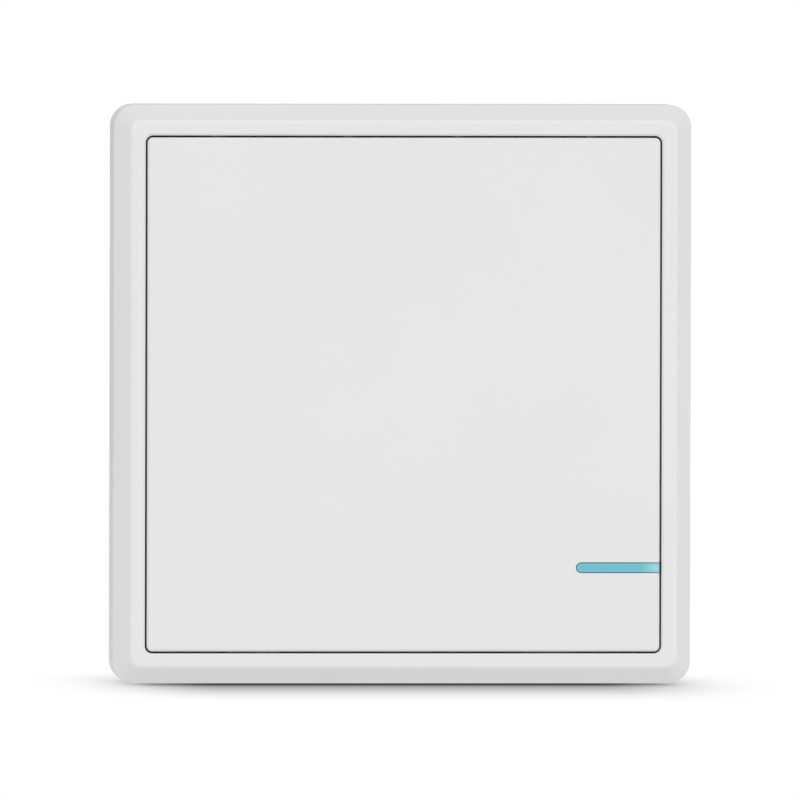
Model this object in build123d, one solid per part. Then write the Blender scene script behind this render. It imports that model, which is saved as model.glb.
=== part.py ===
from build123d import *
import math
import os

# Self-powered wireless rocker wall switch, millimetres.
# Every piece is drawn lying on its back: X right, Y up the wall, Z out from the wall.
# It is then stood upright, so that +Y points into the wall and +Z points up.

# Outside shape
PLATE_SIZE = 86.0
DEPTH = 13.0
FRAME_CORNER = 3.3
FRAME_WALL = 1.6
FRAME_BACK = 0.2
LIP_WIDTH = 2.15
SLOPE_WIDTH = 2.4
LIP_CORNER = 1.6
LIP_EDGE = 0.7
SLOPE_DEPTH = 3.6
SLOPE_EDGE = 0.6
FLANGE_WALL = 1.2
FLANGE_DEPTH = 4.4
SPACER_WIDTH = 1.2
SPACER_RAISE = 0.2
SPACER_DROP = 2.8
SPACER_X = (-28.0, -8.25, 8.25, 28.0)
PRY_WIDTH = 10.0
PRY_HEIGHT = 1.4

# Rocker
ROCKER_GAP = 0.3
ROCKER_CORNER = 0.8
ROCKER_EDGE = 0.3
ROCKER_PLATE = 1.8
SKIRT_WALL = 1.2
SKIRT_DEPTH = 3.2
RIB_WIDTH = 1.0
RIB_HEIGHT = 1.5
RIB_X = 18.0
TRAVEL = 2.0
CATCH_X = 22.0
CATCH_WIDTH = 8.0
CATCH_REACH = 0.9
CATCH_GAP = 0.15

# Strip in the rocker
STRIP_LENGTH = 12.4
STRIP_WIDTH = 1.45
STRIP_DROP = 12.45
STRIP_FIT = 0.07
STRIP_FLANGE = 0.8

# Hinge of the rocker
HINGE_INSET = 4.2
HINGE_DROP = 4.8
HINGE_X = 24.0
HINGE_PIN = 2.4
HINGE_FIT = 0.05
HOOK_WALL = 1.3
HOOK_WIDTH = 5.0
HOOK_MOUTH = 1.9
EAR_WALL = 1.0
EAR_THICK = 1.6
EAR_GAP = 0.7

# Rear housing
FLOOR = 2.0
HOUSING_WALL = 1.4
HOUSING_FIT = 0.15
RIM_DROP = 1.1
SNAP_UP = 20.0
SNAP_LENGTH = 8.0
SNAP_HEIGHT = 3.6
SNAP_RAISE = 0.6
SNAP_FIT = 0.15
MOUNT_SPACING = 60.3
MOUNT_WIDTH = 4.2
MOUNT_LENGTH = 8.0
MOUNT_COLLAR = 2.0
MOUNT_PAD = 0.8
PAD_INSET = 5.2
PAD_DIAMETER = 5.0
PAD_HEIGHT = 1.8
PAD_GAP = 0.1

# Screws into the housing floor
SCREW_DIAMETER = 1.6
SCREW_HEAD = 3.0
SCREW_HEAD_HEIGHT = 1.1
SCREW_SLOT = 0.5
SCREW_END = 0.3
THREAD_FIT = 0.01
HOLE_FIT = 0.15

# Generator
COIL_TOP = -8.4
COIL_LENGTH = 8.2
BORE_WIDTH = 6.2
BORE_HEIGHT = 2.0
TUBE_WALL = 0.4
WINDING = 1.2
FLANGE_LAP = 0.2
SPOOL_FLANGE = 0.8
COIL_PIN = 0.4
COIL_PIN_REACH = 6.0
ARMATURE_WIDTH = 5.4
ARMATURE_THICK = 1.2
ARMATURE_TAIL = 6.0
TIP_GAP = 0.06
POLE_LENGTH = 5.4
POLE_WIDTH = 9.0
POLE_THICK = 1.0
POLE_START = 1.0
MAGNET_LENGTH = 2.6
MAGNET_WIDTH = 8.0
POLE_GAP = 2.0
CARRIER_LENGTH = 2.6
CARRIER_WIDTH = 9.2
CARRIER_HEIGHT = 3.4
CARRIER_START = 0.4
TRUNNION = 1.8
TRUNNION_FIT = 0.05
TRAY_FLOOR = 0.8
TRAY_WALL = 1.2
TRAY_SIDE_GAP = 0.3
TRAY_END = 2.2
TRAY_EAR = 5.6
COVER_THICK = 0.8
COVER_GAP = 0.2
LEAF_THICK = 0.25
LEAF_WIDTH = 5.2
LEAF_TIP_WIDTH = 4.0

# Lever between rocker and generator
PUSHER_INSET = 5.15
PUSHER_WIDTH = 12.0
PUSHER_THICK = 1.4
CONTACT_GAP = 0.15
LEVER_GAP = 0.4
LEVER_THICK = 1.8
LEVER_RING = 2.0
LEVER_NOSE = 1.0
LEVER_RISE = 2.35
LEVER_BAR = 28.0
LEVER_WEB = 1.8
LEAF_PLAY = 0.25
PIN_DIAMETER = 1.6
PIN_FIT = 0.05
PIN_CAP = 0.5
SPRING_X = 11.6
SPRING_RADIUS = 1.5
SPRING_WIRE = 0.4
SPRING_TURNS = 4.5
SPRING_FIT = 0.02
SPIGOT_RADIUS = 1.1
SPIGOT_HEIGHT = 0.8

# Circuit board
BOARD_THICK = 1.0
BOARD_WIDTH = 47.0
BOARD_GAP = 2.2
BOARD_MARGIN = 2.0
BOARD_CORNER = 1.0
BOARD_SCREW_INSET = 4.0
LEG_GAP = 2.4
LEG_MARGIN = 1.9
CAN_DIAMETER = 5.0
CAN_LENGTH = 8.0
CAN_BEAD = 1.6
CRYSTAL_LENGTH = 11.0
CRYSTAL_WIDTH = 4.6
CRYSTAL_HEIGHT = 3.4
ANTENNA_RADIUS = 2.0
ANTENNA_WIRE = 0.6
ANTENNA_PITCH = 1.8
ANTENNA_TURNS = 6
COIL_STEPS = 10

# Sides of the small rounds that repeat
ROUND_SIDES = 16
CHIP_LENGTH = 2.0
CHIP_WIDTH = 1.25
CHIP_HEIGHT = 0.8
RADIO_SIZE = (9.0, 4.0, 1.7)
BRIDGE_SIZE = (4.6, 3.8, 1.5)
REGULATOR_SIZE = (3.0, 1.6, 1.1)
LEAD_REACH = 1.0
LEAD_THICK = 0.2

# Heights above the wall
rocker_back = DEPTH - ROCKER_PLATE
skirt_end = DEPTH - SKIRT_DEPTH
flange_end = DEPTH - FLANGE_DEPTH
slope_start = DEPTH - SLOPE_DEPTH
hinge_height = DEPTH - HINGE_DROP
rim_height = flange_end - RIM_DROP
rib_end = rocker_back - RIB_HEIGHT
tray_base = FLOOR + TRAY_FLOOR
spool_half = BORE_HEIGHT / 2 + TUBE_WALL + WINDING + FLANGE_LAP
core_height = tray_base + spool_half
pole_back = core_height - POLE_GAP / 2
pole_front = core_height + POLE_GAP / 2
cover_back = pole_front + POLE_THICK + COVER_GAP
cover_front = cover_back + COVER_THICK
board_face = FLOOR + BOARD_THICK

# Widths and places on the wall
lip_size = PLATE_SIZE - 2 * SLOPE_WIDTH
opening = lip_size - 2 * LIP_WIDTH
rocker_size = opening - 2 * ROCKER_GAP
flange_size = opening + 2 * FLANGE_WALL
frame_inside = PLATE_SIZE - 2 * FRAME_WALL
frame_inner_corner = FRAME_CORNER - FRAME_WALL
housing_size = frame_inside - 2 * HOUSING_FIT
housing_corner = frame_inner_corner - HOUSING_FIT
housing_inside = housing_size - 2 * HOUSING_WALL
rocker_edge = rocker_size / 2
skirt_inside = rocker_size - 2 * SKIRT_WALL
hinge_up = rocker_edge - HINGE_INSET
ear_radius = HINGE_PIN / 2 + EAR_WALL
pusher_up = PUSHER_INSET - rocker_edge
pad_place = rocker_edge - PAD_INSET
tube_width = BORE_WIDTH + 2 * TUBE_WALL
tube_height = BORE_HEIGHT + 2 * TUBE_WALL
wound_width = tube_width + 2 * WINDING
wound_height = tube_height + 2 * WINDING
spool_width = wound_width + 2 * FLANGE_LAP
spool_height = 2 * spool_half
coil_bottom = COIL_TOP - COIL_LENGTH
pole_bottom = COIL_TOP + POLE_START
pole_top = pole_bottom + POLE_LENGTH
magnet_bottom = pole_top - MAGNET_LENGTH
tip_up = magnet_bottom - COIL_PIN
carrier_top = coil_bottom - CARRIER_START
pivot_up = carrier_top - CARRIER_LENGTH / 2
carrier_bottom = carrier_top - CARRIER_LENGTH
tail_up = pivot_up - ARMATURE_TAIL
tip_swing = (POLE_GAP - ARMATURE_THICK) / 2 - TIP_GAP
rest_tilt = -math.degrees(math.asin(tip_swing / (tip_up - pivot_up)))
tray_inner = spool_width / 2 + TRAY_SIDE_GAP
tray_side = tray_inner + TRAY_WALL
lever_up = pole_top + TRAY_END
tray_top = lever_up + TRAY_END
tray_bottom = carrier_bottom - TRAY_WALL
lever_inner = tray_side + LEVER_GAP
lever_outer = lever_inner + LEVER_THICK
pin_end = lever_outer - PIN_CAP
leaf_middle = ARMATURE_THICK / 2 + LEAF_THICK / 2
leaf_slot = core_height + leaf_middle + (pivot_up - pusher_up) * math.sin(math.radians(-rest_tilt))
spring_seat = leaf_slot + LEAF_PLAY
lever_crown = leaf_slot + LEVER_RISE
pusher_end = lever_crown + CONTACT_GAP
tray_screw_up = (tray_top + TRAY_EAR / 2, tray_bottom - TRAY_EAR / 2)
board_top = hinge_up - ear_radius - BOARD_GAP
board_bottom = tray_top + TRAY_EAR + BOARD_MARGIN
board_side = BOARD_WIDTH / 2
leg_left = lever_outer + LEG_GAP
leg_bottom = coil_bottom - LEG_MARGIN
board_screw_places = [
    (BOARD_SCREW_INSET - board_side, board_top - BOARD_SCREW_INSET),
    (board_side - BOARD_SCREW_INSET, leg_bottom + BOARD_SCREW_INSET),
]
screw_places = [(0, up) for up in tray_screw_up] + board_screw_places
pin_rows = (COIL_TOP - SPOOL_FLANGE / 2, coil_bottom + SPOOL_FLANGE / 2)


def slab(outline, low, high):
    """Extrude an outline on the wall plane from one height to another."""
    return extrude(Pos(0, 0, low) * outline, amount=high - low, dir=(0, 0, 1))


def square(size, corner):
    return RectangleRounded(size, size, corner)


def bar(x_span, up_span, height_span):
    """Straight bar between two limits on each axis."""
    size = [span[1] - span[0] for span in (x_span, up_span, height_span)]
    return Pos(x_span[0], up_span[0], height_span[0]) * Box(*size, align=Align.MIN)


def side_cut(profile, x_low, x_high):
    """Extrude a side profile, drawn as up and height, along X."""
    return extrude(Pos(x_low, 0, 0) * (Plane.YZ * profile), amount=x_high - x_low, dir=(1, 0, 0))


def rod(x_span, up, height, radius):
    """Round rod along X."""
    return side_cut(Pos(up, height) * Circle(radius), *x_span)


def small_round(radius):
    """Outline of a screw, peg or pad."""
    return RegularPolygon(radius, ROUND_SIDES)


def edges_at(part, height):
    return part.edges().filter_by_position(Axis.Z, height, height)


def coil(pitch, turns, radius, wire):
    """Wire wound in short straight steps round Z, climbing from the origin."""
    points = []
    for step in range(int(turns * COIL_STEPS) + 1):
        turned = step / COIL_STEPS
        angle = 2 * math.pi * turned
        points.append((radius * math.cos(angle), radius * math.sin(angle), pitch * turned))
    path = Polyline(*points)
    section = Plane(origin=path @ 0, z_dir=path % 0) * RegularPolygon(wire / 2, 6)
    return sweep(section, path=path, transition=Transition.RIGHT)


def swung(part):
    """Turn a piece of the armature to its rest position about the trunnions."""
    pivot = Pos(0, pivot_up, core_height)
    return pivot * Rot(rest_tilt, 0, 0) * pivot.inverse() * part


def front_frame():
    body = slab(square(PLATE_SIZE, FRAME_CORNER), FRAME_BACK, slope_start)
    foot = Pos(0, 0, slope_start) * square(PLATE_SIZE, FRAME_CORNER)
    lip = Pos(0, 0, DEPTH) * square(lip_size, LIP_CORNER)
    body += loft([foot, lip], ruled=True)
    body = fillet(edges_at(body, DEPTH), LIP_EDGE)
    body = fillet(edges_at(body, slope_start), SLOPE_EDGE)

    under_slope = DEPTH - FRAME_WALL
    hollow_start = Pos(0, 0, flange_end) * square(frame_inside, frame_inner_corner)
    hollow_end = Pos(0, 0, under_slope) * square(lip_size - FRAME_WALL, LIP_CORNER)
    hollow = loft([hollow_start, hollow_end], ruled=True)
    hollow -= slab(square(flange_size, ROCKER_CORNER + ROCKER_GAP + FLANGE_WALL), 0, DEPTH)
    body -= hollow
    body -= slab(square(frame_inside, frame_inner_corner), 0, flange_end)
    body -= slab(square(opening, ROCKER_CORNER + ROCKER_GAP), 0, DEPTH)
    inner = body.edges().filter_by_position(Axis.Z, DEPTH, DEPTH)
    body = chamfer(inner.sort_by(lambda e: Vector(e.center().X, e.center().Y, 0).length)[:8], ROCKER_EDGE)

    top = opening / 2
    for x in SPACER_X:
        span = (x - SPACER_WIDTH / 2, x + SPACER_WIDTH / 2)
        body += bar(span, (top - SPACER_RAISE, top + SPACER_RAISE), (flange_end, DEPTH - SPACER_DROP))

    wall = frame_inside / 2
    reach = SNAP_RAISE - HOUSING_FIT + SNAP_FIT
    half = SNAP_LENGTH / 2 + SNAP_FIT
    for side in (-1, 1):
        for up in (-SNAP_UP, SNAP_UP):
            x_span = sorted((side * wall, side * (wall + reach)))
            rise = SNAP_RAISE + SNAP_FIT
            body -= bar(x_span, (up - half, up + half), (SNAP_HEIGHT - rise, SNAP_HEIGHT + rise))
    edge = PLATE_SIZE / 2
    body -= bar((-PRY_WIDTH / 2, PRY_WIDTH / 2), (-edge, -wall), (FRAME_BACK, FRAME_BACK + PRY_HEIGHT))
    return body


def strip_outline(size):
    """Strip seen from the front: round at the left, cut by the rocker's edge at the right."""
    shape = Pos(-STRIP_LENGTH, 0) * Circle(size / 2)
    shape = Pos(STRIP_WIDTH / 2, 0) * shape
    end = STRIP_LENGTH - STRIP_WIDTH / 2
    shape += Pos(-end, 0) * Rectangle(end, size, align=(Align.MIN, Align.CENTER))
    return Pos(rocker_edge, STRIP_DROP - rocker_edge) * shape


def hinge_hook(x):
    bore = HINGE_PIN / 2 + HINGE_FIT
    outer = bore + HOOK_WALL
    web = rocker_back - hinge_height
    profile = Circle(outer)
    profile += Rectangle(2 * outer, web, align=(Align.CENTER, Align.MIN))
    profile -= Circle(bore)
    profile -= Rectangle(HOOK_MOUTH, 2 * outer, align=(Align.CENTER, Align.MAX))
    profile = Pos(hinge_up, hinge_height) * profile
    return side_cut(profile, x - HOOK_WIDTH / 2, x + HOOK_WIDTH / 2)


def rocker():
    body = slab(square(rocker_size, ROCKER_CORNER), skirt_end, DEPTH)
    body = chamfer(edges_at(body, DEPTH), ROCKER_EDGE)
    inside = skirt_inside / 2
    body -= slab(Rectangle(skirt_inside, skirt_inside), skirt_end, rocker_back)

    rib = RIB_WIDTH / 2
    cross_up = board_bottom + 2 * RIB_WIDTH
    for side in (-1, 1):
        x = side * RIB_X
        body += bar((x - rib, x + rib), (-inside, inside), (rib_end, rocker_back))
        outboard = sorted((x, side * inside))
        body += bar(outboard, (pivot_up - rib, pivot_up + rib), (rib_end, rocker_back))
    body += bar((-inside, inside), (cross_up - rib, cross_up + rib), (rib_end, rocker_back))

    pusher = bar(
        (-PUSHER_WIDTH / 2, PUSHER_WIDTH / 2),
        (pusher_up - PUSHER_THICK / 2, pusher_up + PUSHER_THICK / 2),
        (pusher_end, rocker_back),
    )
    body += fillet(edges_at(pusher, pusher_end).filter_by(Axis.X), PUSHER_THICK / 2.5)

    barb_top = flange_end - CATCH_GAP
    barb = Polygon(
        (-inside, rocker_back),
        (-rocker_edge, rocker_back),
        (-rocker_edge, barb_top),
        (-rocker_edge - CATCH_REACH, barb_top),
        (-rocker_edge - CATCH_REACH, barb_top - CATCH_REACH / 2),
        (-rocker_edge, barb_top - 1.5 * CATCH_REACH),
        (-inside, barb_top - 1.5 * CATCH_REACH),
        align=None,
    )
    for side in (-1, 1):
        body += hinge_hook(side * HINGE_X)
        x = side * CATCH_X
        body += side_cut(barb, x - CATCH_WIDTH / 2, x + CATCH_WIDTH / 2)

    body -= slab(strip_outline(STRIP_WIDTH + 2 * STRIP_FIT), rocker_back, DEPTH)
    relief = strip_outline(STRIP_WIDTH + 2 * STRIP_FLANGE + 2 * STRIP_FIT)
    body -= slab(relief, rocker_back - STRIP_FLANGE, rocker_back)
    return body


def indicator_strip():
    rail = slab(strip_outline(STRIP_WIDTH), rocker_back, DEPTH)
    front_right = rail.edges().filter_by(Axis.Y).sort_by(Axis.Z)[-1]
    rail = chamfer(front_right, ROCKER_EDGE)
    flange = slab(strip_outline(STRIP_WIDTH + 2 * STRIP_FLANGE), rocker_back - STRIP_FLANGE, rocker_back)
    return rail + flange


def pad_top():
    """Height of the stop pads, just under the pressed rocker."""
    turn = math.radians(TRAVEL)
    reach = hinge_up + pad_place + PAD_DIAMETER / 2
    return hinge_height + (rocker_back - hinge_height) - reach * math.tan(turn) - PAD_GAP


def rear_housing():
    body = slab(square(housing_size, housing_corner), 0, rim_height)
    body -= slab(square(housing_inside, housing_corner / 2), FLOOR, rim_height)

    slot = SlotOverall(MOUNT_LENGTH, MOUNT_WIDTH)
    collar = SlotOverall(MOUNT_LENGTH + 2 * MOUNT_COLLAR, MOUNT_WIDTH + 2 * MOUNT_COLLAR)
    for side in (-1, 1):
        place = Pos(side * MOUNT_SPACING / 2, 0)
        body += slab(place * collar, 0, FLOOR + MOUNT_PAD)
        body -= slab(place * slot, 0, FLOOR + MOUNT_PAD)

    ear = Pos(hinge_up, hinge_height) * Circle(ear_radius)
    ear += Pos(hinge_up, FLOOR) * Rectangle(
        2 * ear_radius, hinge_height - FLOOR, align=(Align.CENTER, Align.MIN)
    )
    ear_start = HOOK_WIDTH / 2 + EAR_GAP
    for side in (-1, 1):
        x = side * HINGE_X
        for start in (x - ear_start - EAR_THICK, x + ear_start):
            body += side_cut(ear, start, start + EAR_THICK)
        body += rod((x - ear_start, x + ear_start), hinge_up, hinge_height, HINGE_PIN / 2)

        post = Pos(side * pad_place, -pad_place) * small_round(PAD_DIAMETER / 2 + 0.6)
        body += slab(post, FLOOR, pad_top() - PAD_HEIGHT)

        wall = housing_size / 2
        ridge = Polygon(
            (0, SNAP_HEIGHT - SNAP_RAISE),
            (side * SNAP_RAISE, SNAP_HEIGHT),
            (0, SNAP_HEIGHT + SNAP_RAISE),
            align=None,
        )
        for up in (-SNAP_UP, SNAP_UP):
            start = Pos(side * wall, up + SNAP_LENGTH / 2, 0) * (Plane.XZ * ridge)
            body += extrude(start, amount=SNAP_LENGTH, dir=(0, -1, 0))

    pilot = small_round(SCREW_DIAMETER / 2 + THREAD_FIT)
    for x, up in screw_places:
        body -= slab(Pos(x, up) * pilot, SCREW_END, FLOOR)
    return body


def stop_pads():
    top = pad_top()
    pads = []
    for side in (-1, 1):
        outline = Pos(side * pad_place, -pad_place) * small_round(PAD_DIAMETER / 2)
        pad = slab(outline, top - PAD_HEIGHT, top)
        pads.append(chamfer(edges_at(pad, top), 0.5))
    return pads


def screw(x, up, seat):
    """Pan-head screw with a straight slot, its head on the seat."""
    head_top = seat + SCREW_HEAD_HEIGHT
    body = slab(Pos(x, up) * small_round(SCREW_HEAD / 2), seat, head_top)
    body += slab(Pos(x, up) * small_round(SCREW_DIAMETER / 2), SCREW_END, seat)
    groove = Pos(x, up) * Rectangle(SCREW_HEAD, SCREW_SLOT)
    return body - slab(groove, head_top - SCREW_SLOT, head_top)


def generator_tray():
    floor = Rectangle(2 * tray_side, tray_top - tray_bottom, align=(Align.CENTER, Align.MIN))
    outline = Pos(0, tray_bottom) * floor
    for up in tray_screw_up:
        outline += Pos(0, up) * SlotOverall(TRAY_EAR, TRAY_EAR - 0.01)
    ear_low, ear_high = tray_screw_up[1], tray_screw_up[0]
    outline += Pos(0, ear_low) * Rectangle(TRAY_EAR, ear_high - ear_low, align=(Align.CENTER, Align.MIN))
    body = slab(outline, FLOOR, tray_base)
    for side in (-1, 1):
        x_span = sorted((side * tray_inner, side * tray_side))
        body += bar(x_span, (tray_bottom, tray_top), (tray_base, cover_back))
    body += bar((-tray_inner, tray_inner), (pole_top, tray_top), (tray_base, cover_back))
    seat = (-POLE_WIDTH / 2, POLE_WIDTH / 2)
    body += bar(seat, (pole_bottom, pole_top), (tray_base, pole_back - POLE_THICK))

    groove = TRUNNION / 2 + TRUNNION_FIT
    body -= rod((-tray_side, tray_side), pivot_up, core_height, groove)
    body -= bar((-tray_side, tray_side), (pivot_up - groove, pivot_up + groove), (core_height, cover_back))
    body -= rod((-tray_side, tray_side), lever_up, core_height, PIN_DIAMETER / 2 + THREAD_FIT)
    for up in pin_rows:
        half = SPOOL_FLANGE / 2
        body -= bar((tray_inner, tray_side), (up - half, up + half), (tray_base, cover_back))
    for up in tray_screw_up:
        body -= slab(Pos(0, up) * small_round(SCREW_DIAMETER / 2 + HOLE_FIT), FLOOR, tray_base)
    return body


def generator_cover():
    top_up = pole_top + TRAY_END / 2
    plate = Rectangle(2 * tray_side, top_up - tray_bottom, align=(Align.CENTER, Align.MIN))
    body = slab(Pos(0, tray_bottom) * plate, cover_back, cover_front)
    window = Rectangle(
        spool_width + TRAY_SIDE_GAP, COIL_LENGTH + TRAY_SIDE_GAP, align=(Align.CENTER, Align.MAX)
    )
    body -= slab(Pos(0, COIL_TOP + TRAY_SIDE_GAP / 2) * window, cover_back, cover_front)
    plug = TRUNNION / 2
    for side in (-1, 1):
        x_span = sorted((side * tray_inner, side * tray_side))
        body += bar(x_span, (pivot_up - plug, pivot_up + plug), (core_height + TRUNNION, cover_back))
    press = (-MAGNET_WIDTH / 2, MAGNET_WIDTH / 2)
    body += bar(press, (magnet_bottom, pole_top), (cover_back - COVER_GAP, cover_back))
    return body


def pole_plate(low):
    span = (-POLE_WIDTH / 2, POLE_WIDTH / 2)
    body = bar(span, (pole_bottom, pole_top), (low, low + POLE_THICK))
    return chamfer(body.edges().filter_by(Axis.Z), 0.4)


def magnet():
    span = (-MAGNET_WIDTH / 2, MAGNET_WIDTH / 2)
    body = bar(span, (magnet_bottom, pole_top), (pole_back, pole_front))
    return chamfer(body.edges().filter_by(Axis.Z), 0.2)


def along_coil(outline, start, end):
    """Extrude a cross-section along the coil's own axis."""
    return extrude(Pos(0, end, core_height) * (Plane.XZ * outline), amount=end - start, dir=(0, -1, 0))


def coil_bobbin():
    core = RectangleRounded(tube_width, tube_height, tube_height / 4)
    tube = along_coil(core, coil_bottom, COIL_TOP)
    cheek = Rectangle(spool_width, spool_height)
    cheek = chamfer(cheek.vertices(), 0.5)
    for start in (coil_bottom, COIL_TOP - SPOOL_FLANGE):
        tube += along_coil(cheek, start, start + SPOOL_FLANGE)
    for up in pin_rows:
        half = SPOOL_FLANGE / 2
        tube += bar((0, tray_side), (up - half, up + half), (tray_base, board_face + 2 * COIL_PIN))
        grip = (up - COIL_PIN / 2, up + COIL_PIN / 2)
        tube -= bar((tray_inner, tray_side), grip, (board_face, board_face + COIL_PIN))
    return tube - along_coil(Rectangle(BORE_WIDTH, BORE_HEIGHT), coil_bottom, COIL_TOP)


def coil_winding():
    low = coil_bottom + SPOOL_FLANGE
    high = COIL_TOP - SPOOL_FLANGE
    turns = RectangleRounded(wound_width, wound_height, WINDING + tube_height / 4)
    turns -= RectangleRounded(tube_width, tube_height, tube_height / 4)
    return along_coil(turns, low, high)


def coil_pins():
    pins = []
    for up in pin_rows:
        width = (up - COIL_PIN / 2, up + COIL_PIN / 2)
        pins.append(bar((tray_inner, tray_side + COIL_PIN_REACH), width, (board_face, board_face + COIL_PIN)))
    return pins


def armature():
    half = ARMATURE_THICK / 2
    span = (-ARMATURE_WIDTH / 2, ARMATURE_WIDTH / 2)
    blade = bar(span, (tail_up, tip_up), (core_height - half, core_height + half))
    blade = chamfer(blade.edges().filter_by(Axis.Z), 0.5)
    return swung(blade)


def armature_carrier():
    outline = Rectangle(CARRIER_WIDTH, CARRIER_HEIGHT)
    outline = chamfer(outline.vertices(), 0.5)
    face = Pos(0, carrier_top, core_height) * (Plane.XZ * outline)
    block = extrude(face, amount=CARRIER_LENGTH)
    end = tray_side - 0.2
    block += rod((-end, end), pivot_up, core_height, TRUNNION / 2)
    half = ARMATURE_THICK / 2
    length = (carrier_bottom, carrier_top)
    span = (-ARMATURE_WIDTH / 2, ARMATURE_WIDTH / 2)
    block -= bar(span, length, (core_height - half, core_height + half))
    span = (-LEAF_WIDTH / 2, LEAF_WIDTH / 2)
    block -= bar(span, length, (core_height + half, core_height + half + LEAF_THICK))
    return swung(block)


def leaf_spring():
    low = core_height + ARMATURE_THICK / 2
    start = carrier_top
    end = pusher_up - LEVER_WEB / 2 - 0.4
    leaf = Polygon(
        (-LEAF_WIDTH / 2, start),
        (LEAF_WIDTH / 2, start),
        (LEAF_WIDTH / 2, tail_up),
        (LEAF_TIP_WIDTH / 2, end),
        (-LEAF_TIP_WIDTH / 2, end),
        (-LEAF_WIDTH / 2, tail_up),
        align=None,
    )
    return swung(slab(leaf, low, low + LEAF_THICK))


def press_lever():
    ring = Pos(lever_up, core_height) * Circle(LEVER_RING)
    nose = Pos(pusher_up, lever_crown - LEVER_NOSE) * Circle(LEVER_NOSE)
    arm = make_hull(ring.edges() + nose.edges())
    body = None
    for side in (-1, 1):
        x_span = sorted((side * lever_inner, side * lever_outer))
        piece = side_cut(arm, *x_span)
        body = piece if body is None else body + piece
    web = LEVER_WEB / 2
    width = LEVER_BAR / 2
    body += side_cut(nose, -width, width)
    upright = (pusher_up - web, pusher_up + web)
    body += bar((-width, width), upright, (spring_seat, lever_crown - LEVER_NOSE))
    foot = leaf_slot - 2 * LEAF_PLAY - web / 2
    body += bar((-lever_inner, lever_inner), upright, (foot, spring_seat + web / 2))
    play = LEAF_THICK / 2 + LEAF_PLAY
    mouth = LEAF_WIDTH / 2 + LEAF_PLAY
    body -= bar((-mouth, mouth), upright, (leaf_slot - play, leaf_slot + play))
    for side in (-1, 1):
        centre = Pos(side * SPRING_X, pusher_up)
        seat = Rectangle(2 * SPRING_RADIUS + 2 * SPRING_WIRE, 2 * SPRING_RADIUS + 2 * SPRING_WIRE)
        body += slab(centre * seat, spring_seat, spring_seat + web)
        body += slab(centre * small_round(SPIGOT_RADIUS), spring_seat - SPIGOT_HEIGHT, spring_seat)
    return body - rod((-pin_end, pin_end), lever_up, core_height, PIN_DIAMETER / 2 + PIN_FIT)


def lever_pin():
    end = pin_end - 2 * PIN_FIT
    return rod((-end, end), lever_up, core_height, PIN_DIAMETER / 2)


def return_springs():
    height = spring_seat - FLOOR - SPRING_WIRE - 2 * SPRING_FIT
    spring = coil(height / SPRING_TURNS, SPRING_TURNS, SPRING_RADIUS, SPRING_WIRE)
    start = FLOOR + SPRING_WIRE / 2 + SPRING_FIT
    return [Pos(side * SPRING_X, pusher_up, start) * spring for side in (-1, 1)]


def on_board(across, along):
    """Place on the upper part of the board, as shares of its width and height."""
    return Pos((across - 0.5) * BOARD_WIDTH, board_bottom + along * (board_top - board_bottom), board_face)


def on_leg(across, along):
    """Place on the board's leg beside the generator, as shares of its width and height."""
    x = leg_left + across * (board_side - leg_left)
    return Pos(x, leg_bottom + along * (board_bottom - leg_bottom), board_face)


def circuit_board():
    main = Rectangle(BOARD_WIDTH, board_top - board_bottom, align=Align.MIN)
    leg = Rectangle(board_side - leg_left, board_top - leg_bottom, align=Align.MIN)
    outline = Pos(-board_side, board_bottom) * main + Pos(leg_left, leg_bottom) * leg
    outline = chamfer(outline.vertices(), BOARD_CORNER)
    body = slab(outline, FLOOR, board_face)
    for x, up in board_screw_places:
        body -= slab(Pos(x, up) * small_round(SCREW_DIAMETER / 2 + HOLE_FIT), FLOOR, board_face)
    return body


def leaded_chip(size, lead_count):
    """Moulded chip with a row of flat leads on both long sides, standing on the board."""
    length, width, height = size
    body = bar((-length / 2, length / 2), (-width / 2, width / 2), (LEAD_THICK, height))
    body = chamfer(edges_at(body, height), LEAD_THICK)
    pitch = length / lead_count
    for index in range(lead_count):
        lead = (index - (lead_count - 1) / 2) * pitch
        span = (lead - pitch / 5, lead + pitch / 5)
        for side in (-1, 1):
            shoulder = side * width / 2
            toe = shoulder + side * LEAD_REACH
            body += bar(span, sorted((shoulder, toe)), (0, LEAD_THICK))
            riser = sorted((shoulder - side * LEAD_THICK, shoulder + side * LEAD_THICK))
            body += bar(span, riser, (0, height / 2))
    return body


def storage_capacitor():
    radius = CAN_DIAMETER / 2
    bead = CAN_LENGTH - CAN_BEAD
    profile = Polygon(
        (0, 0),
        (radius - 0.3, 0),
        (radius, 0.3),
        (radius, bead - 0.3),
        (radius - 0.3, bead),
        (radius, bead + 0.3),
        (radius, CAN_LENGTH - 0.3),
        (radius - 0.3, CAN_LENGTH),
        (0, CAN_LENGTH),
        align=None,
    )
    can = Rot(0, 90, 0) * revolve(Plane.XZ * profile, Axis.Z)
    foot = bar((CAN_LENGTH / 4, 3 * CAN_LENGTH / 4), (-radius / 2, radius / 2), (-radius, -radius / 2))
    return on_board(0.29, 0.77) * Pos(0, 0, radius) * (can + foot)


def crystal_can():
    base = slab(RectangleRounded(CRYSTAL_LENGTH, CRYSTAL_WIDTH, CRYSTAL_WIDTH / 2.05), 0, 0.5)
    shell = RectangleRounded(CRYSTAL_LENGTH - 0.8, CRYSTAL_WIDTH - 0.8, CRYSTAL_WIDTH / 2.6)
    can = slab(shell, 0.5, CRYSTAL_HEIGHT)
    can = chamfer(edges_at(can, CRYSTAL_HEIGHT), 0.4)
    return on_board(0.69, 0.74) * (base + can)


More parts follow.
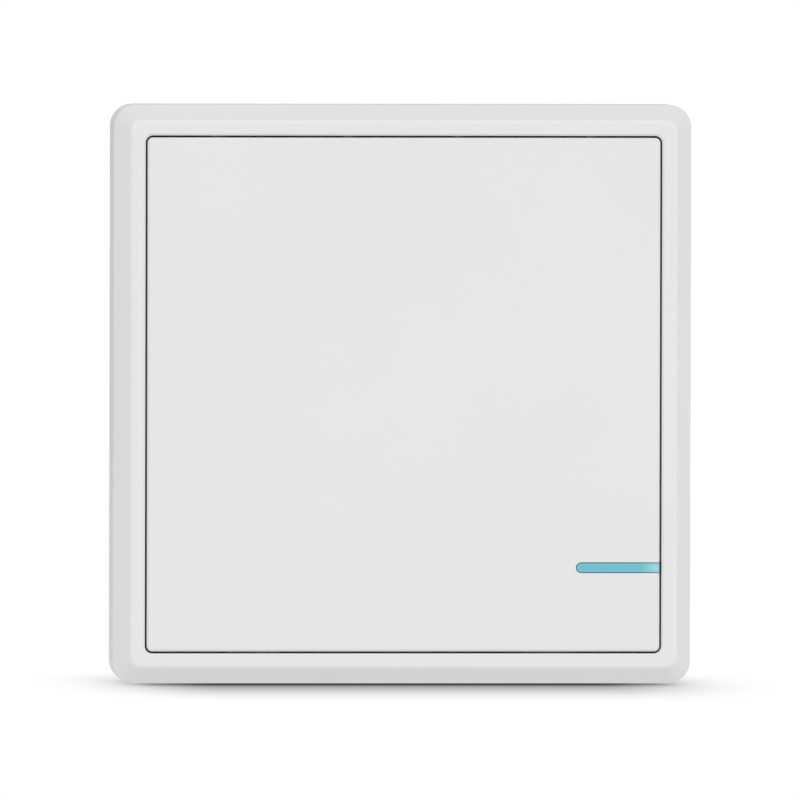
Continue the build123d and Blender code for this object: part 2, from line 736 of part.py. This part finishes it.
def chip_components():
    places = [on_board(across, along) for across in (0.05, 0.56) for along in (0.15, 0.35)]
    places += [on_leg(0.2, 0.58), on_leg(0.2, 0.72), on_leg(0.72, 0.68), on_board(0.21, 0.72)]
    block = bar((-CHIP_LENGTH / 2, CHIP_LENGTH / 2), (-CHIP_WIDTH / 2, CHIP_WIDTH / 2), (0, CHIP_HEIGHT))
    block = chamfer(block.edges().filter_by(Axis.Y), CHIP_HEIGHT / 6)
    return [place * block for place in places]


def antenna_coil():
    wound = coil(ANTENNA_PITCH, ANTENNA_TURNS, ANTENNA_RADIUS, ANTENNA_WIRE)
    lying = Rot(0, 90, 0) * wound
    return on_board(0.68, 0.22) * Pos(0, 0, ANTENNA_RADIUS + ANTENNA_WIRE / 2) * lying


PARTS = {
    "rear_housing": rear_housing(),
    "front_frame": front_frame(),
    "rocker": rocker(),
    "indicator_strip": indicator_strip(),
    "stop_pads": stop_pads(),
    "generator_tray": generator_tray(),
    "generator_cover": generator_cover(),
    "tray_screws": [screw(0, up, tray_base) for up in tray_screw_up],
    "magnet": magnet(),
    "front_pole_plate": pole_plate(pole_front),
    "rear_pole_plate": pole_plate(pole_back - POLE_THICK),
    "coil_bobbin": coil_bobbin(),
    "coil_winding": coil_winding(),
    "coil_pins": coil_pins(),
    "armature": armature(),
    "armature_carrier": armature_carrier(),
    "leaf_spring": leaf_spring(),
    "press_lever": press_lever(),
    "lever_pin": lever_pin(),
    "return_springs": return_springs(),
    "circuit_board": circuit_board(),
    "board_screws": [screw(x, up, board_face) for x, up in board_screw_places],
    "radio_chip": on_board(0.33, 0.3) * leaded_chip(RADIO_SIZE, 7),
    "rectifier_bridge": on_leg(0.56, 0.37) * leaded_chip(BRIDGE_SIZE, 2),
    "voltage_regulator": on_leg(0.56, 0.86) * leaded_chip(REGULATOR_SIZE, 3),
    "storage_capacitor": storage_capacitor(),
    "crystal_can": crystal_can(),
    "chip_components": chip_components(),
    "antenna_coil": antenna_coil(),
}

os.makedirs("parts", exist_ok=True)
upright = Rot(90, 0, 0)
for name, piece in PARTS.items():
    solids = piece if isinstance(piece, list) else [piece]
    placed = [solid for item in solids for solid in (upright * item).solids()]
    export_step(placed[0] if len(placed) == 1 else Compound(children=placed), f"parts/{name}.step")
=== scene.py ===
import math

import bpy
from mathutils import Matrix, Vector


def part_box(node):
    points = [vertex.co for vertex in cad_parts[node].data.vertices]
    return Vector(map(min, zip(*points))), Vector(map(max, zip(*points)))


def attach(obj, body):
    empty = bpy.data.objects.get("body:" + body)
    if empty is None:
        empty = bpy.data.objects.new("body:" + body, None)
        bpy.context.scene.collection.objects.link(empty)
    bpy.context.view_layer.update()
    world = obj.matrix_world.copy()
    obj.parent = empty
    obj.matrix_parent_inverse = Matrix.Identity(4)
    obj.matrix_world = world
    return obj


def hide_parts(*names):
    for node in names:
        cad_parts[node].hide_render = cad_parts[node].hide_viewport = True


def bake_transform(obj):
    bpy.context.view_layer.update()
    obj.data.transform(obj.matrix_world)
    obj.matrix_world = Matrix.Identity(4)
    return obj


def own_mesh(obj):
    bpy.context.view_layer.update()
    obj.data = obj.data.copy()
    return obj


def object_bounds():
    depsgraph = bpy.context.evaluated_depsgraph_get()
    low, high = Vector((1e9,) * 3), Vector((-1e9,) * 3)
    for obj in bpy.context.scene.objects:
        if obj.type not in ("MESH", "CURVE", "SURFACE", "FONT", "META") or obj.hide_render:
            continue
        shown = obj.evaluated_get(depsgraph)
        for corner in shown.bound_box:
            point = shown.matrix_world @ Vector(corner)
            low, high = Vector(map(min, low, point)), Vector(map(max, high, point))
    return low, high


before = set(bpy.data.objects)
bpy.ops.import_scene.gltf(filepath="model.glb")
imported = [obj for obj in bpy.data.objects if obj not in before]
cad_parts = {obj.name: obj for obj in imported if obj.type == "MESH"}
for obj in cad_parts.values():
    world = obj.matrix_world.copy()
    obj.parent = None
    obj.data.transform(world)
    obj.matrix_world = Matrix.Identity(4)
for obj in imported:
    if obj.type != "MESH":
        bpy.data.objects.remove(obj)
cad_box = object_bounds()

MM = 0.001
STEEL = (0.62, 0.62, 0.63)
TINNED = (0.70, 0.70, 0.69)

# Marks that the materials draw
STRIP_LENGTH = 12.4 * MM
STRIP_HALF = 0.725 * MM
STRIP_EDGE = (0.15 * MM, 0.6 * MM)
# Painted shade of the groove round the blue strip lies between these distances from its middle
# line
STRIP_GROOVE_SHADE = (0.56 * MM, 0.71 * MM)
WINDING_PITCH = 0.16 * MM
TRACK_LENGTH = 5.2 * MM
TRACK_PITCH = 1.3 * MM
TRACK_GAP = 0.16 * MM
LEAD_START = 0.005 * MM

# Return springs
WIRE_RADIUS = 0.2 * MM
COIL_RADIUS = 1.5 * MM
COIL_TURNS = 5.5
CLOSED_TURNS = 0.9
END_PITCH = 2.1 * WIRE_RADIUS
STEPS_PER_TURN = 26
WIRE_SIDES = 8

# Leaf spring
LEAF_THICK = 0.25 * MM
LEAF_HALF = 2.6 * MM
LEAF_TAPER = 0.6 * MM
LEAF_STEPS = 20
TIP_LENGTH = 0.3 * MM
TIP_BEVEL = 0.3 * MM
HELD_STEP = 0.1 * MM
HELD_MARGIN = 0.05 * MM
HELD_DEPTH = 0.2
FREE_DEPTH = 0.48

# Floor, sky and lights
FLOOR_HALF = 8.0
FLOOR_LIGHT = 0.77
FLOOR_BEHIND = 0.3
FLOOR_FADE = (0.1, 1.0)
FLOOR_TINT = (0.975, 1.0, 1.025)
SEEN_WHITE = 1.02
# Painted shadow on the floor, seen only by the camera: a wide soft pool and a tight band along
# the part's foot, fading faster behind the part
PAINTED_SHADOW_BEHIND_FADE = 1.6
PAINTED_SHADOW_POOL = {"half_width": 0.0273, "aside": 0.0145, "reach": 0.044, "depth": 0.62}
PAINTED_CONTACT_SHADOW = {"half_width": 0.037, "aside": 0.004, "reach": 0.009, "depth": 0.36}
SKY_FRONT = 1.066
SKY_BACK = 0.433
SKY_BEHIND = 0.12
SKY_TURN = (-0.4, 0.4)
SKY_END = (0.75, 0.98)
LIGHT_DISTANCE = 1.6
LIGHT_SIZE = 1.2

# Camera, with the pixel of the photo where the middle of the rocker's face is seen
CAMERA_ASIDE = math.radians(-4.1)
CAMERA_ABOVE = math.radians(1.4)
CAMERA_ROLL = math.radians(0.13)
CAMERA_DISTANCE = 5.0
SENSOR_WIDTH = 36.0
PHOTO_WIDTH = 0.11878
PHOTO_PIXELS = 800
SEEN_AT = (403.85, 394.66)

scene = bpy.context.scene
scene.view_settings.view_transform = "Standard"
scene.view_settings.look = "None"


# Node helpers

def add(tree, kind, inputs=None, **settings):
    """New node; an input is a plain value or the socket that feeds it."""
    made = tree.nodes.new("ShaderNode" + kind)
    for key, value in settings.items():
        setattr(made, key, value)
    for key, value in (inputs or {}).items():
        if isinstance(value, bpy.types.NodeSocket):
            tree.links.new(value, made.inputs[key])
        else:
            made.inputs[key].default_value = value
    return made


def start(name, **values):
    """New material, its node tree and its shader with the values that are the same all over."""
    made = bpy.data.materials.new(name)
    made.use_nodes = True
    shader = made.node_tree.nodes["Principled BSDF"]
    for key, value in values.items():
        shader.inputs[key.replace("_", " ")].default_value = value
    return made, made.node_tree, shader


def place(tree, stretch=(1, 1, 1)):
    """Position on the part in metres, stretched for grain that runs one way."""
    point = add(tree, "TexCoord").outputs["Object"]
    return add(tree, "Mapping", {"Vector": point, "Scale": stretch}).outputs["Vector"]


def noise(tree, size, detail=2.0, stretch=(1, 1, 1)):
    """Noise with features about size metres across."""
    inputs = {"Vector": place(tree, stretch), "Scale": 1 / size, "Detail": detail}
    return add(tree, "TexNoise", inputs).outputs["Fac"]


def ramp(tree, factor, *stops):
    """Colour that follows a factor through (place, colour) stops."""
    made = add(tree, "ValToRGB", {"Fac": factor})
    while len(made.color_ramp.elements) < len(stops):
        made.color_ramp.elements.new(0.5)
    for element, (at, color) in zip(made.color_ramp.elements, stops):
        element.position = at
        element.color = (*color, 1)
    return made.outputs["Color"]


def span(tree, factor, low, high, start_at=0.0, end_at=1.0, smooth=False):
    """Value that goes from low to high while the factor goes from start_at to end_at."""
    inputs = {
        "Value": factor,
        "From Min": start_at, "From Max": end_at,
        "To Min": low, "To Max": high,
    }
    kind = "SMOOTHSTEP" if smooth else "LINEAR"
    return add(tree, "MapRange", inputs, interpolation_type=kind).outputs["Result"]


def math_node(tree, operation, first, second=0.0):
    return add(tree, "Math", {0: first, 1: second}, operation=operation).outputs[0]


def mixed(tree, factor, first, second):
    """Colour between two others, each a plain colour or a socket."""
    made = add(tree, "Mix", data_type="RGBA")
    color_in = [s for s in made.inputs if s.type == "RGBA"]
    tree.links.new(factor, [s for s in made.inputs if s.type == "VALUE"][0])
    for socket, value in zip(color_in, (first, second)):
        if isinstance(value, bpy.types.NodeSocket):
            tree.links.new(value, socket)
        else:
            socket.default_value = (*value, 1)
    return [s for s in made.outputs if s.type == "RGBA"][0]


def bumped(tree, *layers):
    """Bump made of (height, depth in metres) layers."""
    normal = None
    for height, depth in layers:
        inputs = {"Height": height, "Distance": depth, "Strength": 1.0}
        if normal is not None:
            inputs["Normal"] = normal
        normal = add(tree, "Bump", inputs).outputs["Normal"]
    return normal


def dress(tree, shader, color, roughness, normal, metallic=None):
    """Feed what changes over the surface to the shader."""
    tree.links.new(color, shader.inputs["Base Color"])
    tree.links.new(roughness, shader.inputs["Roughness"])
    tree.links.new(normal, shader.inputs["Normal"])
    if metallic is not None:
        tree.links.new(metallic, shader.inputs["Metallic"])


# Materials

def white_plastic():
    made, tree, shader = start("white_plastic", IOR=1.5)
    cloud = noise(tree, 0.03, 3)
    tint = ramp(tree, cloud, (0.3, (0.789, 0.786, 0.779)), (0.7, (0.801, 0.798, 0.791)))
    rough = span(tree, noise(tree, 0.006, 4), 0.42, 0.54)
    grain = bumped(tree, (noise(tree, 0.0016, 2), 2e-6), (noise(tree, 0.00022, 3), 2.5e-6))
    dress(tree, shader, tint, rough, grain)
    return made


def housing_plastic():
    made, tree, shader = start("housing_plastic", IOR=1.5)
    cloud = noise(tree, 0.02, 3)
    tint = ramp(tree, cloud, (0.3, (0.69, 0.695, 0.69)), (0.7, (0.735, 0.74, 0.735)))
    rough = span(tree, noise(tree, 0.004, 4), 0.5, 0.66)
    grain = bumped(tree, (noise(tree, 0.0012, 2), 5e-6), (noise(tree, 0.0004, 4), 9e-6))
    dress(tree, shader, tint, rough, grain)
    return made


def blue_strip():
    """Clear blue, with a painted highlight that makes it paler towards the rocker's edge, and a
    painted shade of the groove as a dark line round it.
    """
    made, tree, shader = start("blue_strip", IOR=1.49, Coat_Weight=0.25, Coat_Roughness=0.12)
    low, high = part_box("indicator_strip")
    face_left = high.x - STRIP_LENGTH
    middle = (low.z + high.z) / 2
    axes = add(tree, "SeparateXYZ", {"Vector": place(tree)})
    along = span(tree, axes.outputs["X"], 0.0, 1.0, face_left, high.x)
    # Painted highlight: the colour turns paler over the end by the rocker's edge, where light
    # gets into the strip from the side.
    body = ramp(
        tree, along,
        (0.0, (0.16, 0.53, 0.60)), (0.1, (0.13, 0.51, 0.63)),
        (0.78, (0.13, 0.51, 0.63)), (0.95, (0.33, 0.66, 0.74)),
    )
    cloud = span(tree, noise(tree, 0.0012, 3), 0.92, 1.08)
    body = add(tree, "HueSaturation", {"Color": body, "Value": cloud}).outputs["Color"]
    before_end = math_node(tree, "SUBTRACT", axes.outputs["X"], face_left + STRIP_HALF)
    before_end = math_node(tree, "MINIMUM", before_end, 0.0)
    off_axis = math_node(tree, "SUBTRACT", axes.outputs["Z"], middle)
    out = add(tree, "CombineXYZ", {"X": before_end, "Z": off_axis}).outputs["Vector"]
    distance = add(tree, "VectorMath", {0: out}, operation="LENGTH").outputs["Value"]
    edge = span(tree, distance, 0.0, 0.55, *STRIP_EDGE, smooth=True)
    body = mixed(tree, edge, body, (0.22, 0.56, 0.60))
    # Painted shade of the groove round the strip: a dark line that fades towards the highlighted
    # end.
    groove_shade = span(tree, distance, 0.0, 1.0, *STRIP_GROOVE_SHADE, smooth=True)
    fading = span(tree, along, 1.0, 0.25, 0.75, 1.0)
    groove_shade = math_node(tree, "MULTIPLY", groove_shade, fading)
    tint = mixed(tree, groove_shade, body, (0.055, 0.19, 0.205))
    rough = span(tree, noise(tree, 0.002, 3), 0.2, 0.32)
    dress(tree, shader, tint, rough, bumped(tree, (noise(tree, 0.0008, 2), 1.5e-6)))
    return made


def dark_plastic():
    made, tree, shader = start("dark_plastic", IOR=1.5)
    fibres = noise(tree, 0.0006, 4, (1, 1, 0.2))
    tint = ramp(tree, fibres, (0.35, (0.028, 0.028, 0.031)), (0.75, (0.06, 0.06, 0.064)))
    rough = span(tree, fibres, 0.42, 0.62)
    dress(tree, shader, tint, rough, bumped(tree, (fibres, 5e-6), (noise(tree, 0.0002, 2), 3e-6)))
    return made


def natural_plastic():
    made, tree, shader = start(
        "natural_plastic", IOR=1.52, Subsurface_Weight=0.15, Subsurface_Scale=0.0008,
    )
    tint = ramp(tree, noise(tree, 0.004, 3), (0.3, (0.70, 0.67, 0.59)), (0.7, (0.77, 0.75, 0.68)))
    rough = span(tree, noise(tree, 0.001, 3), 0.36, 0.5)
    dress(tree, shader, tint, rough, bumped(tree, (noise(tree, 0.0003, 3), 3e-6)))
    return made


def rolled_metal(name, dark, light, rough_low, rough_high, stretch, depth):
    """Sheet metal with fine lines along its rolling direction."""
    made, tree, shader = start(name, Metallic=1.0)
    lines = noise(tree, 0.0012, 5, stretch)
    stain = noise(tree, 0.005, 3)
    tint = ramp(tree, math_node(tree, "MULTIPLY", lines, stain), (0.12, dark), (0.42, light))
    rough = span(tree, lines, rough_low, rough_high)
    dress(tree, shader, tint, rough, bumped(tree, (lines, depth)))
    return made


def copper():
    """Enamelled winding, its turns side by side along the coil, with painted shade in the grooves
    between them.
    """
    made, tree, shader = start("copper", Metallic=1.0, Coat_Weight=0.6, Coat_Roughness=0.1)
    axes = add(tree, "SeparateXYZ", {"Vector": place(tree)})
    turn = math_node(tree, "MULTIPLY", axes.outputs["Z"], 2 * math.pi / WINDING_PITCH)
    turns = span(tree, math_node(tree, "SINE", turn), 0.0, 1.0, -1.0, 1.0)
    patches = span(tree, noise(tree, 0.001, 3), 0.8, 1.0)
    # Painted shade: darker in the grooves between the turns, times random patches of tone.
    shade = math_node(tree, "MULTIPLY", span(tree, turns, 0.6, 1.0), patches)
    tint = ramp(tree, shade, (0.5, (0.36, 0.115, 0.045)), (1.0, (0.72, 0.33, 0.16)))
    dress(tree, shader, tint, span(tree, turns, 0.34, 0.24), bumped(tree, (turns, 4e-5)))
    return made


def antenna_wire():
    """Single enamelled wire with faint marks."""
    made, tree, shader = start("antenna_wire", Metallic=1.0, Coat_Weight=0.5, Coat_Roughness=0.1)
    marks = noise(tree, 0.0005, 4)
    tint = ramp(tree, marks, (0.3, (0.56, 0.22, 0.09)), (0.7, (0.75, 0.36, 0.18)))
    dress(tree, shader, tint, span(tree, marks, 0.22, 0.36), bumped(tree, (marks, 4e-6)))
    return made


def board_laminate():
    """Green solder mask over raised copper tracks."""
    made, tree, shader = start("board_laminate", IOR=1.52, Coat_Weight=0.3, Coat_Roughness=0.2)
    flat = add(tree, "SeparateXYZ", {"Vector": place(tree)})
    sheet = add(tree, "CombineXYZ", {"X": flat.outputs["X"], "Y": flat.outputs["Z"]})
    tracks = add(
        tree, "TexBrick",
        {"Vector": sheet.outputs["Vector"], "Scale": 1.0,
         "Brick Width": TRACK_LENGTH, "Row Height": TRACK_PITCH,
         "Mortar Size": TRACK_GAP, "Mortar Smooth": 0.2},
        offset=0.37, offset_frequency=3,
    ).outputs["Fac"]
    weave = noise(tree, 0.0005, 2)
    mask = ramp(tree, weave, (0.3, (0.010, 0.105, 0.035)), (0.7, (0.016, 0.14, 0.05)))
    tint = mixed(tree, tracks, mask, (0.035, 0.235, 0.085))
    rough = span(tree, noise(tree, 0.0015, 3), 0.3, 0.45)
    dress(tree, shader, tint, rough, bumped(tree, (weave, 4e-6), (tracks, 2.5e-5)))
    return made


def chip_mould(node, body_width):
    """Black moulding with tinned leads beyond the body's upper and lower side."""
    made, tree, shader = start(node + "_mould", IOR=1.55)
    low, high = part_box(node)
    up = add(tree, "SeparateXYZ", {"Vector": place(tree)}).outputs["Z"]
    off = math_node(tree, "ABSOLUTE", math_node(tree, "SUBTRACT", up, (low.z + high.z) / 2))
    lead = math_node(tree, "GREATER_THAN", off, body_width / 2 + LEAD_START)
    grain = noise(tree, 0.00025, 4)
    black = ramp(tree, grain, (0.3, (0.016, 0.016, 0.017)), (0.7, (0.034, 0.034, 0.036)))
    tint = mixed(tree, lead, black, TINNED)
    smoother = span(tree, lead, 0.0, 0.25)
    rough = math_node(tree, "SUBTRACT", span(tree, grain, 0.5, 0.68), smoother)
    dress(tree, shader, tint, rough, bumped(tree, (grain, 5e-6)), lead)
    return made


def chip_ceramic():
    """Ceramic blocks in tones that change from piece to piece."""
    made, tree, shader = start("chip_ceramic", IOR=1.6)
    batch = noise(tree, 0.007, 0)
    tone = ramp(tree, batch, (0.42, (0.055, 0.05, 0.046)), (0.55, (0.34, 0.25, 0.16)))
    speck = span(tree, noise(tree, 0.0002, 3), 0.85, 1.1)
    tint = add(tree, "HueSaturation", {"Color": tone, "Value": speck}).outputs["Color"]
    rough = span(tree, noise(tree, 0.0006, 3), 0.35, 0.55)
    dress(tree, shader, tint, rough, bumped(tree, (noise(tree, 0.0002, 3), 3e-6)))
    return made


def silicone():
    made, tree, shader = start(
        "silicone", IOR=1.41, Subsurface_Weight=0.2, Subsurface_Scale=0.001,
    )
    tint = ramp(tree, noise(tree, 0.002, 3), (0.3, (0.43, 0.43, 0.42)), (0.7, (0.52, 0.52, 0.51)))
    rough = span(tree, noise(tree, 0.0008, 3), 0.62, 0.8)
    dress(tree, shader, tint, rough, bumped(tree, (noise(tree, 0.0003, 3), 6e-6)))
    return made


def plated(name, dark, light, rough_low, rough_high):
    """Plated metal with faint cloudy patches."""
    made, tree, shader = start(name, Metallic=1.0)
    cloud = noise(tree, 0.002, 4)
    tint = ramp(tree, cloud, (0.32, dark), (0.68, light))
    rough = span(tree, noise(tree, 0.0007, 4), rough_low, rough_high)
    dress(tree, shader, tint, rough, bumped(tree, (noise(tree, 0.00025, 3), 2.5e-6)))
    return made


WHITE = white_plastic()
DARK = dark_plastic()
NATURAL = natural_plastic()
IRON = rolled_metal(
    "soft_iron", (0.30, 0.30, 0.31), (0.47, 0.47, 0.48), 0.34, 0.5, (6, 6, 0.4), 6e-6,
)
SPRING = rolled_metal("spring_steel", (0.46, 0.46, 0.47), STEEL, 0.22, 0.36, (8, 8, 0.3), 4e-6)
SCREW = plated("plated_steel", (0.55, 0.55, 0.56), (0.70, 0.70, 0.71), 0.24, 0.4)
MAGNET = plated("magnet_plating", (0.56, 0.54, 0.50), (0.69, 0.67, 0.63), 0.16, 0.3)
PINS = plated("tinned_pins", (0.60, 0.60, 0.58), TINNED, 0.2, 0.36)
ALUMINIUM = plated("can_aluminium", (0.62, 0.62, 0.63), (0.76, 0.76, 0.77), 0.28, 0.42)
CRYSTAL = plated("crystal_plating", (0.60, 0.60, 0.58), (0.74, 0.74, 0.72), 0.2, 0.34)

finish_of = {
    "front_frame": WHITE,
    "rocker": WHITE,
    "rear_housing": housing_plastic(),
    "indicator_strip": blue_strip(),
    "stop_pads": silicone(),
    "generator_tray": DARK,
    "generator_cover": DARK,
    "press_lever": DARK,
    "armature_carrier": NATURAL,
    "coil_bobbin": NATURAL,
    "magnet": MAGNET,
    "front_pole_plate": IRON,
    "rear_pole_plate": IRON,
    "armature": IRON,
    "leaf_spring": SPRING,
    "return_springs": SPRING,
    "lever_pin": SPRING,
    "tray_screws": SCREW,
    "board_screws": SCREW,
    "coil_pins": PINS,
    "coil_winding": copper(),
    "antenna_coil": antenna_wire(),
    "circuit_board": board_laminate(),
    "radio_chip": chip_mould("radio_chip", 4.0 * MM),
    "rectifier_bridge": chip_mould("rectifier_bridge", 3.8 * MM),
    "voltage_regulator": chip_mould("voltage_regulator", 1.6 * MM),
    "storage_capacitor": ALUMINIUM,
    "crystal_can": CRYSTAL,
    "chip_components": chip_ceramic(),
}
for name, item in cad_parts.items():
    item.data.materials.clear()
    item.data.materials.append(finish_of[name])


# Return springs and snap leaf

def piece(name, vertices, faces, material):
    mesh = bpy.data.meshes.new(name)
    mesh.from_pydata(vertices, [], faces)
    mesh.update()
    mesh.materials.append(material)
    made = bpy.data.objects.new(name, mesh)
    scene.collection.objects.link(made)
    return made


def lofted(rings):
    """Vertices and faces of a closed skin over rings with the same number of points."""
    count = len(rings[0])
    faces = [tuple(reversed(range(count)))]
    for ring in range(len(rings) - 1):
        first = ring * count
        second = first + count
        for point in range(count):
            beside = (point + 1) % count
            faces.append((first + point, first + beside, second + beside, second + point))
    last = (len(rings) - 1) * count
    faces.append(tuple(range(last, last + count)))
    return [point for ring in rings for point in ring], faces


def return_coils():
    """Two round-wire springs with closed end turns, drawn at rest; the lever presses on them."""
    low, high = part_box("return_springs")
    middle = (low.z + high.z) / 2
    climb = high.y - low.y - 2 * WIRE_RADIUS
    open_pitch = (climb - 2 * CLOSED_TURNS * END_PITCH) / (COIL_TURNS - 2 * CLOSED_TURNS)
    vertices, faces = [], []
    for side in (-1, 1):
        aside = side * (high.x - COIL_RADIUS - WIRE_RADIUS)
        centre = Vector((aside, high.y - WIRE_RADIUS, middle))
        rings = []
        for step in range(int(COIL_TURNS * STEPS_PER_TURN) + 1):
            turned = step / STEPS_PER_TURN
            angle = 2 * math.pi * turned
            first = min(turned, CLOSED_TURNS)
            last = max(turned - COIL_TURNS + CLOSED_TURNS, 0.0)
            height = END_PITCH * (first + last) + open_pitch * (turned - first - last)
            out = Vector((math.cos(angle), 0, math.sin(angle)))
            middle_of_wire = centre + out * COIL_RADIUS + Vector((0, -height, 0))
            ring = []
            for corner in range(WIRE_SIDES):
                about = 2 * math.pi * corner / WIRE_SIDES
                toward = out * math.cos(about) + Vector((0, math.sin(about), 0))
                ring.append(middle_of_wire + WIRE_RADIUS * toward)
            rings.append(ring)
        more, skin = lofted(rings)
        faces += [tuple(index + len(vertices) for index in face) for face in skin]
        vertices += more
    made = piece("return_coils", vertices, faces, SPRING)
    made.data.polygons.foreach_set("use_smooth", [True] * len(made.data.polygons))
    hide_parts("return_springs")
    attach(made, "housing")
    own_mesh(made)


def snap_leaf():
    """Leaf that runs from the armature's carrier to the slot of the lever.

    It is thinner and narrower where the carrier holds it.
    """
    low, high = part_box("leaf_spring")
    carrier_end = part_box("armature_carrier")[0].z
    tail_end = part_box("armature")[0].z
    root, tip = high.z, low.z
    lean = (high.y - low.y - LEAF_THICK) / (root - tip)
    stops = [root, carrier_end, carrier_end - HELD_STEP, tail_end]
    stops += [tail_end + (tip - tail_end) * step / LEAF_STEPS for step in range(1, LEAF_STEPS)]
    stops += [tip + TIP_LENGTH, tip]
    rings = []
    for at in stops:
        held = at >= carrier_end
        half = LEAF_HALF - LEAF_TAPER * max(tail_end - at, 0.0) / (tail_end - tip)
        if at == tip:
            half -= TIP_BEVEL
        if held:
            half -= HELD_MARGIN
        depth = LEAF_THICK * (HELD_DEPTH if held else FREE_DEPTH)
        middle = high.y - LEAF_THICK / 2 - lean * (root - at)
        corners = ((-half, -depth), (half, -depth), (half, depth), (-half, depth))
        rings.append([Vector((x, middle + y, at)) for x, y in corners])
    vertices, faces = lofted(rings)
    made = piece("snap_leaf", vertices, faces, SPRING)
    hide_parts("leaf_spring")
    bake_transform(made)


return_coils()
snap_leaf()


# Stage

def floor():
    """White paper with a painted soft shadow where it is seen, not cast by the lights; as light,
    plain and darker far behind.
    """
    mesh = bpy.data.meshes.new("floor")
    size, low = FLOOR_HALF, cad_box[0].z
    corners = [(-size, -size, low), (size, -size, low), (size, size, low), (-size, size, low)]
    mesh.from_pydata(corners, [], [(0, 1, 2, 3)])
    mesh.update()
    plane = bpy.data.objects.new("floor", mesh)
    scene.collection.objects.link(plane)
    paper, tree, shader = start("floor_paper")
    axes = add(tree, "SeparateXYZ", {"Vector": place(tree)})
    across = math_node(tree, "ABSOLUTE", axes.outputs["X"])
    before = math_node(tree, "SUBTRACT", cad_box[0].y, axes.outputs["Y"])
    behind = math_node(tree, "SUBTRACT", axes.outputs["Y"], cad_box[1].y)
    behind = math_node(tree, "MULTIPLY", behind, PAINTED_SHADOW_BEHIND_FADE)
    outside = math_node(tree, "MAXIMUM", math_node(tree, "MAXIMUM", before, behind), 0.0)

    def shade(half_width, aside, reach, depth):
        """Painted gaussian shade, full under the part and faster to fade behind it than in front.
        """
        beside = math_node(tree, "MAXIMUM", math_node(tree, "SUBTRACT", across, half_width), 0.0)
        away = add(tree, "CombineXYZ", {
            "X": math_node(tree, "DIVIDE", beside, aside),
            "Y": math_node(tree, "DIVIDE", outside, reach),
        }).outputs["Vector"]
        squared = add(tree, "VectorMath", {0: away, 1: away}, operation="DOT_PRODUCT")
        falling = math_node(tree, "MULTIPLY", squared.outputs["Value"], -1.0)
        return math_node(tree, "MULTIPLY", math_node(tree, "EXPONENT", falling), depth)

    # The camera sees white less the painted shadow; the lights do not cast it.
    tone = math_node(tree, "SUBTRACT", SEEN_WHITE, shade(**PAINTED_SHADOW_POOL))
    tone = math_node(tree, "SUBTRACT", tone, shade(**PAINTED_CONTACT_SHADOW))
    light = span(tree, axes.outputs["Y"], FLOOR_LIGHT, FLOOR_BEHIND, *FLOOR_FADE, smooth=True)
    seen = add(tree, "LightPath").outputs["Is Camera Ray"]
    level = span(tree, seen, light, tone)
    tint = mixed(tree, seen, FLOOR_TINT, (1, 1, 1))
    glow = add(tree, "Emission", {"Color": tint, "Strength": level})
    tree.links.new(glow.outputs[0], tree.nodes["Material Output"].inputs["Surface"])
    tree.nodes.remove(shader)
    mesh.materials.append(paper)


def sky():
    """White all round where it is seen; as light, brighter from the front than from behind."""
    made = bpy.data.worlds.new("studio")
    scene.world = made
    made.use_nodes = True
    tree = made.node_tree
    tree.nodes.clear()
    toward = add(tree, "TexCoord").outputs["Generated"]
    ahead = add(tree, "SeparateXYZ", {"Vector": toward}).outputs["Y"]
    level = span(tree, ahead, SKY_FRONT, SKY_BACK, *SKY_TURN, smooth=True)
    dimmed = span(tree, ahead, 1.0, SKY_BEHIND / SKY_BACK, *SKY_END, smooth=True)
    level = math_node(tree, "MULTIPLY", level, dimmed)
    seen = add(tree, "LightPath").outputs["Is Camera Ray"]
    strength = span(tree, seen, level, SEEN_WHITE)
    white = add(tree, "Background", {"Color": (1, 1, 1, 1), "Strength": strength})
    add(tree, "OutputWorld", {"Surface": white.outputs[0]})


def soft_box(name, toward, power, in_gloss=True):
    """Large square light facing the part from the given direction."""
    made = bpy.data.lights.new(name, "AREA")
    made.shape = "SQUARE"
    made.size = LIGHT_SIZE
    made.energy = power
    box = bpy.data.objects.new(name, made)
    scene.collection.objects.link(box)
    away = Vector(toward).normalized()
    box.location = away * LIGHT_DISTANCE
    box.rotation_mode = "QUATERNION"
    box.rotation_quaternion = away.to_track_quat("Z", "Y")
    box.visible_camera = False
    box.visible_glossy = in_gloss


floor()
sky()
soft_box("left_light", (-0.9, -0.75, 0.2), 1.65)
soft_box("right_light", (0.9, -0.75, 0.2), 3.6)
soft_box("back_light", (0.0, 0.9, 0.43), 12.0, in_gloss=False)


# Camera

def camera():
    """Long lens, a little to the left of the part and a little above its middle."""
    aim = Vector((0, cad_box[0].y, 0))
    made = bpy.data.cameras.new("camera")
    made.sensor_width = SENSOR_WIDTH
    made.lens = SENSOR_WIDTH * CAMERA_DISTANCE / PHOTO_WIDTH
    made.clip_start, made.clip_end = 0.1, 30.0
    item = bpy.data.objects.new("camera", made)
    scene.collection.objects.link(item)
    level = math.cos(CAMERA_ABOVE)
    back = Vector((
        math.sin(CAMERA_ASIDE) * level,
        -math.cos(CAMERA_ASIDE) * level,
        math.sin(CAMERA_ABOVE),
    ))
    turn = back.to_track_quat("Z", "Y").to_matrix() @ Matrix.Rotation(CAMERA_ROLL, 3, "Z")
    pixel = PHOTO_WIDTH / PHOTO_PIXELS
    centre = PHOTO_PIXELS / 2
    offset = turn @ Vector((centre - SEEN_AT[0], SEEN_AT[1] - centre, 0)) * pixel
    item.location = aim + back * CAMERA_DISTANCE + offset
    item.rotation_mode = "QUATERNION"
    item.rotation_quaternion = turn.to_quaternion()
    scene.camera = item


camera()
